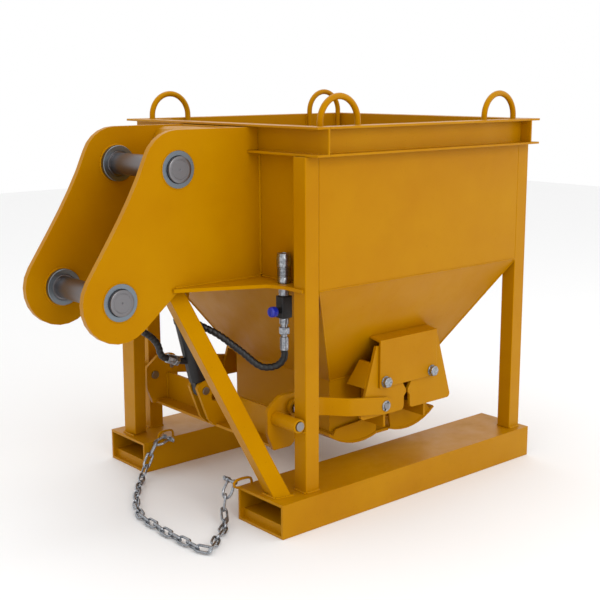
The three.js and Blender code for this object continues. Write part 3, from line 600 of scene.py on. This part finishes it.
for name in ("link_pin_near", "link_pin_far"):
    x, _, z = centre_of(name)
    outward = -1 if name.endswith("near") else 1
    base = 365.4 * MM * outward
    washer = turned(name + "_washer", [(0, 0), (16.4 * MM, 0), (17 * MM, 0.6 * MM), (17 * MM, 2.2 * MM),
                                       (16.4 * MM, 2.8 * MM), (0, 2.8 * MM)], (x, base, z), (0, outward, 0), 40)
    finish_piece(washer, "jaw_left", ZINC, "zinc_steel")
    stub = turned(name + "_pin", [(0, -26 * MM), (9 * MM, -26 * MM), (10 * MM, -25 * MM), (10 * MM, 4.4 * MM),
                                  (9 * MM, 5.6 * MM), (0, 5.6 * MM)], (x, base, z), (0, outward, 0), 32)
    finish_piece(stub, "jaw_left", PIN_STEEL, "machined_steel", name)
    lean = math.radians(62)
    across = np.array([math.cos(lean), 0, math.sin(lean)])
    spread = np.linspace(-15 * MM, 15 * MM, 12)[:, None]
    bow = np.stack([0 * spread[:, 0], outward * (3.6 * MM + 0 * spread[:, 0]), 0 * spread[:, 0]], 1)
    cotter = swept(name + "_split_pin", np.array([x, base, z]) + spread * across + bow, 1.9 * MM, 8)
    finish_piece(cotter, "jaw_left", BLACK_PAINT, "zinc_steel")


# %% [markdown]
# A bow shackle hooks the chain to each pocket. Its bow is a wire bent to an omega, with a
# flattened boss at each foot, and its pin has a round eye at one end for turning it.

# %% Shackles
def shackle(name, pin_at, bow_at, eye_side):
    """Bow: a smooth curve from one foot round to the other. Pin: a bar along Y with a collar and an eye."""
    pin_at = np.array(pin_at) * MM
    reach = np.array(bow_at) * MM - pin_at
    share = np.array([-0.05, 0.15, 0.4, 0.65, 0.85, 0.96, 1.0, 0.96, 0.85, 0.65, 0.4, 0.15, -0.05])
    width = np.array([-15, -16, -18, -18.5, -14, -7, 0, 7, 14, 18.5, 18, 16, 15]) * MM
    line = pin_at + share[:, None] * reach + width[:, None] * np.array([0, 1, 0])
    fine, _ = evenly(centripetal(line, 8), 70)
    bow = swept(name + "_bow", fine, 4.0 * MM, 14)
    finish_piece(bow, "frame", ZINC, "zinc_steel", name)
    foot_rows = stack([(4, -4.5), (7.4, -4.5), (8, -3.8), (8, 3.8), (7.4, 4.5), (4, 4.5)])
    for foot, letter in ((-1, "a"), (1, "b")):
        boss = turned(f"{name}_foot_{letter}", foot_rows, pin_at + [0, foot * 15 * MM, 0], (0, 1, 0), 24)
        finish_piece(boss, "frame", ZINC, "zinc_steel")
    pin_rows = stack([(0, -24), (4.2, -24), (4.6, -23), (4.6, 24), (7, 24.4), (7, 27.6), (5, 28), (0, 28)])
    bolt = turned(name + "_pin", pin_rows, pin_at, (0, eye_side, 0), 20)
    finish_piece(bolt, "frame", ZINC, "zinc_steel")
    turn = np.linspace(0, 2 * np.pi, 28, endpoint=False)
    middle = pin_at + [0, eye_side * 33 * MM, 0]
    ring = middle + 5.2 * MM * np.stack([0 * turn, np.cos(turn), np.sin(turn)], 1)
    eye = swept(name + "_eye", np.vstack([ring, ring[:1]]), 2.7 * MM, 12)
    finish_piece(eye, "frame", ZINC, "zinc_steel")


shackle("shackle_near", (-331, -229, 112), (-355, -229, 66), 1)
shackle("shackle_far", (-248, 229, 110), (-294, 229, 96), -1)
print("hardware made")

# %% [markdown]
# The quick coupler, the flow valve and the hose ends are turned or milled fittings on one
# vertical line. The coupler has grip grooves, and each crimped hose end has pressed flutes.

# %% Coupler, valve and knob
VALVE_XY = (-192 * MM, -306 * MM)


def flutes(angle, height):
    """Eight shallow pressed flats round a crimped sleeve."""
    return 1 - 0.035 * np.cos(8 * angle)[None, :] * np.ones_like(height)


coupler_rows = [(0, 655), (14, 655), (15, 656), (15, 691), (18.2, 692), (19, 693), (19, 707), (18.2, 708.5),
                (17, 709), (17, 711)]
for k in range(6):
    base = 711 + 4.2 * k
    coupler_rows += [(17.2, base), (18.8, base + 0.8), (18.8, base + 3), (17.2, base + 3.8)]
coupler_rows += [(17, 737), (20, 738.5), (20.5, 740), (20.5, 766), (19.6, 767.6), (18, 776), (11, 776),
                 (10, 774.6), (10, 765), (0, 765)]
coupler = turned("quick_coupler", stack(coupler_rows), (*VALVE_XY, 0), (0, 0, 1), 80)
finish_piece(coupler, "frame", ZINC, "zinc_steel", "hose_coupler")

crimp_rows = stack([(0, 495.4), (10.6, 495.4), (11.6, 496.2), (12.2, 499), (12.2, 530), (11.4, 534),
                    (9, 536), (9, 546), (0, 546)])
crimp = turned("hose_crimp_sleeve", crimp_rows, (*VALVE_XY, 0), (0, 0, 1), 64, flutes)
finish_piece(crimp, "frame", ZINC, "zinc_steel")
nut_rows = stack([(0, 543), (13.2, 543), (14.6, 544.4), (14.6, 562), (13.2, 563.6), (0, 563.6)])
nut = turned("hose_swivel_nut", nut_rows, (*VALVE_XY, 0), (0, 0, 1), 72,
             lambda angle, height: hexagon(angle)[None, :] * np.ones_like(height) * 0.93)
finish_piece(nut, "frame", ZINC, "zinc_steel")
collar_rows = stack([(0, 562), (10, 562), (10, 572), (13.6, 573), (13.6, 588), (12, 591), (0, 591)])
collar = turned("valve_adapter", collar_rows, (*VALVE_XY, 0), (0, 0, 1), 48)
finish_piece(collar, "frame", ZINC, "zinc_steel")


def milled_block(name, low, high, width_mm):
    """A box with rounded edges, made of its eight corners and a bevel."""
    low = np.array(low) * MM
    high = np.array(high) * MM
    corner = np.array([(x, y, z) for x in (0, 1) for y in (0, 1) for z in (0, 1)])
    faces = [(0, 1, 3, 2), (4, 6, 7, 5), (0, 4, 5, 1), (2, 3, 7, 6), (0, 2, 6, 4), (1, 5, 7, 3)]
    piece = object_from(name, low + corner * (high - low), faces, smooth=False)
    bevel = piece.modifiers.new("edge", "BEVEL")
    bevel.width = width_mm * MM
    bevel.segments = 3
    return piece


valve = milled_block("valve_body", (-210, -322, 590), (-174, -290, 654.6), 3.0)
finish_piece(valve, "frame", BLACK_PAINT, "black_paint", "flow_valve")
stem = turned("valve_stem", stack([(0, 0), (9, 0), (9, 5), (6, 6), (6, 12.5), (0, 12.5)]),
              (-209.5 * MM, -306 * MM, 612 * MM), (-1, 0, 0), 32)
finish_piece(stem, "frame", BLACK_PAINT, "black_paint")
knob_rows = stack([(0, 0), (12, 0), (14.2, 1.4), (15, 3.6), (15, 15), (14.4, 18), (12.4, 20.6), (9.6, 21.4),
                   (8.8, 20.4), (7, 20.0), (0, 19.8)])
knob = turned("flow_knob", knob_rows, (-222.5 * MM, -306 * MM, 612 * MM), (-1, 0, 0), 96,
              lambda angle, height: 1 - 0.035 * (np.cos(12 * angle)[None, :] > 0.6) * (height < 18 * MM))
finish_piece(knob, "knob", KNOB_BLUE, "blue_plastic", "valve_knob")

# %% [markdown]
# The cylinder's port carries the lower hose end: a fluted crimp sleeve and a swivel nut in line
# with the port, which swing with the barrel.

# %% Cylinder port fitting and rod
port_axis = (0.9367, 0.0, -0.3502)
port_end = np.array((-389.5, 0, 445.4)) * MM
sleeve_rows = stack([(0, -1.5), (12.8, -1.5), (13.8, -0.5), (13.8, 23), (12.8, 25), (0, 25)])
sleeve = turned("port_crimp_sleeve", sleeve_rows, port_end, port_axis, 64, flutes)
finish_piece(sleeve, "barrel", ZINC, "zinc_steel")
port_nut_rows = stack([(0, 26), (13.6, 26), (14.6, 27), (14.6, 38.5), (13.6, 39.5), (0, 39.5)])
port_nut = turned("port_swivel_nut", port_nut_rows, port_end, port_axis, 72,
                  lambda angle, height: hexagon(angle)[None, :] * np.ones_like(height))
finish_piece(port_nut, "barrel", ZINC, "zinc_steel")
rod_low = np.array((-271 - 0.2410 * 110, 0, 328 + 0.9705 * 110)) * MM
rod_axis = np.array((-0.2410, 0, 0.9705))
rod = turned("cylinder_rod_bar", stack([(0, 0), (15.9, 0), (15.9, 176), (0, 176)]), rod_low, rod_axis, 48)
finish_piece(rod, "rod", CHROME, "chromed_rod")
print("fittings made")

# %% [markdown]
# Everything is joined by arc welding. A bead is a low ridge laid along a seam, and the puddle
# freezes in ripples a few millimetres apart, so its radius swings along the path and its line
# wanders a little. All the beads on one body become one piece.

# %% Weld beads
rng = np.random.default_rng(7)
BEAD = 4.2 * MM
RIPPLE = 4.5 * MM


def bead_surface(points, size=BEAD, sides=7):
    """Radius along the bead: size * (1 + 0.13 * saw(s / ripple)); its line wanders by 0.4 mm."""
    points = np.asarray(points, float)
    reach = np.linalg.norm(np.diff(points, axis=0), axis=1).sum()
    count = max(8, int(reach / (RIPPLE / 2.5)))
    line, length = evenly(points, count)
    line = line + rng.normal(0, 0.25 * MM, line.shape)
    saw = (np.linspace(0, length, count) / RIPPLE) % 1.0
    radius = size * (0.92 + 0.16 * saw)
    radius[0] *= 0.5
    radius[-1] *= 0.5
    side, up = carried_frames(line)
    angle = np.linspace(0, 2 * np.pi, sides, endpoint=False)
    ring = np.cos(angle)[None, :, None] * side[:, None, :] + np.sin(angle)[None, :, None] * up[:, None, :]
    return line[:, None, :] + radius[:, None, None] * ring


def weld_piece(name, body, beads):
    """One object made of many bead surfaces."""
    points, faces, start = [], [], 0
    for surface in beads:
        rows, columns = surface.shape[:2]
        points.append(surface.reshape(-1, 3))
        faces += [[k + start for k in face] for face in grid_faces(rows, columns)]
        start += rows * columns
    piece = object_from(name, np.vstack(points), faces)
    return finish_piece(piece, body, ENAMEL, "yellow_paint")


def seam(*points_mm, size=BEAD):
    """A bead through points given in millimetres."""
    return bead_surface(np.array(points_mm, float) * MM, size)


def ring_seam(centre_mm, radius_mm, size=BEAD, start=0.0, stop=360.0):
    """A bead round a circle in the XZ plane, from one angle to another."""
    turn = np.radians(np.linspace(start, stop, 60))
    x, y, z = centre_mm
    line = np.stack([x + radius_mm * np.cos(turn), 0 * turn + y, z + radius_mm * np.sin(turn)], 1)
    return bead_surface(line * MM, size)


BOX_X = (-165, 687)
BOX_Y = 426
BOX_BOTTOM = 679
OUTLET_X = (46, 486)
OUTLET_Y = 236
OUTLET_TOP = 345
EAR_Y = (150, 170)
GUSSET_TOP = 691
POCKET_TOP = 101

beads = []
for side in (-1, 1):
    wall_y = side * BOX_Y
    throat_y = side * OUTLET_Y
    beads.append(seam((BOX_X[0], wall_y, BOX_BOTTOM), (BOX_X[1], wall_y, BOX_BOTTOM), size=2.6 * MM))
    for low_x, high_x in zip(OUTLET_X, BOX_X):
        beads.append(seam((low_x, throat_y, OUTLET_TOP), (high_x, wall_y, BOX_BOTTOM - 1), size=2.6 * MM))
    beads.append(seam((OUTLET_X[0], throat_y, OUTLET_TOP), (OUTLET_X[1], throat_y, OUTLET_TOP), size=2.6 * MM))
    for y in EAR_Y:
        beads.append(seam((BOX_X[0] - 1.5, side * y, 692), (BOX_X[0] - 1.5, side * y, 1049)))
    beads.append(seam((-168, side * 171.5, GUSSET_TOP), (-470, side * 171.5, GUSSET_TOP), size=3.4 * MM))
    beads.append(seam((-166.5, side * 175, 691), (-166.5, side * 372, 691), size=3.4 * MM))
    for x in (-215.5, 737.5):
        beads.append(seam((x, side * 377, POCKET_TOP), (x, side * 425, POCKET_TOP)))
    for x in (-214, 688):
        for y in (426.5, 375.5):
            beads.append(seam((x, side * y, POCKET_TOP), (x + 49, side * y, POCKET_TOP)))
    beads.append(seam((-306, side * 399, POCKET_TOP), (-305, side * 339, POCKET_TOP)))
    beads.append(seam((-306, side * 401, POCKET_TOP), (-248, side * 411, POCKET_TOP), size=3.4 * MM))
    beads.append(seam((-216, side * 330, 282), (-216, side * 423, 282), size=3.2 * MM))
    for pin_x, pin_z in (UPPER_PIN, LOWER_PIN):
        beads.append(ring_seam((pin_x, side * 149.6, pin_z), 53.5, 3.6 * MM))
        beads.append(ring_seam((pin_x, side * 170.4, pin_z), 53.2, 1.9 * MM))
    for x in (-149, -9, 531, 671):
        for off in (-8, 8):
            beads.append(seam((x + off, side * 419.5, 1075), (x + off, side * 419.5, 1127), size=3.0 * MM))
    beads.append(seam((140, side * 303, 485), (392, side * 303, 485), size=3.6 * MM))
beads.append(seam((-212, -148, 1119), (-212, 148, 1119), size=3.4 * MM))
for x in (-313, -381):
    beads.append(seam((x, -26, 677.5), (x, 26, 677.5), size=2.4 * MM))
weld_piece("frame_weld_beads", "frame", beads)

yoke_beads = []
for side in (-1, 1):
    yoke_beads.append(seam((-189, side * 307, 214), (-189, side * 307, 304), size=3.0 * MM))
    yoke_beads.append(seam((-236, side * 307, 218), (-190, side * 307, 218), size=3.0 * MM))
for y in (-27, -13, 13, 27):
    yoke_beads.append(seam((-189, y, 219), (-189, y, 303), size=2.6 * MM))
weld_piece("yoke_weld_beads", "yoke", yoke_beads)
print("weld beads:", len(beads) + len(yoke_beads))

# %% [markdown]
# The setting is a plain pale floor, a white sky and three soft lamps: a wide key on the near
# side, a weak fill beyond the far end of the pockets and one over the hopper.

# %% Floor and lights
floor = object_from("studio_floor", [(-9, -9, -0.0005), (9, -9, -0.0005), (9, 9, -0.0005), (-9, 9, -0.0005)],
                       [(0, 1, 2, 3)], smooth=False)
floor_paint, floor_shader, _ = new_material("pale_floor", "#f4f4f4", 0.85)
floor.data.materials.append(floor_paint)

world = bpy.data.worlds.new("pale_sky")
world.use_nodes = True
world.node_tree.nodes["Background"].inputs["Color"].default_value = (1.0, 1.0, 1.0, 1.0)
world.node_tree.nodes["Background"].inputs["Strength"].default_value = 1.0
bpy.context.scene.world = world


def soft_lamp(name, place, aim, size, power):
    """A square area lamp that faces a point."""
    data = bpy.data.lights.new(name, "AREA")
    data.size = size
    data.energy = power
    lamp = bpy.data.objects.new(name, data)
    lamp.location = place
    direction = np.array(aim) - np.array(place)
    pitch = math.atan2(math.hypot(direction[0], direction[1]), -direction[2])
    lamp.rotation_euler = (pitch, 0.0, math.atan2(direction[1], direction[0]) - math.pi / 2)
    bpy.context.scene.collection.objects.link(lamp)


soft_lamp("key_lamp", (-0.9, -4.4, 2.6), (0.1, 0.0, 0.6), 2.2, 60)
soft_lamp("fill_lamp", (3.8, -2.6, 2.0), (0.1, 0.0, 0.6), 2.5, 10)
soft_lamp("top_lamp", (0.0, 0.2, 4.2), (0.0, 0.0, 0.6), 2.6, 25)
bpy.context.scene.view_settings.view_transform = "Standard"
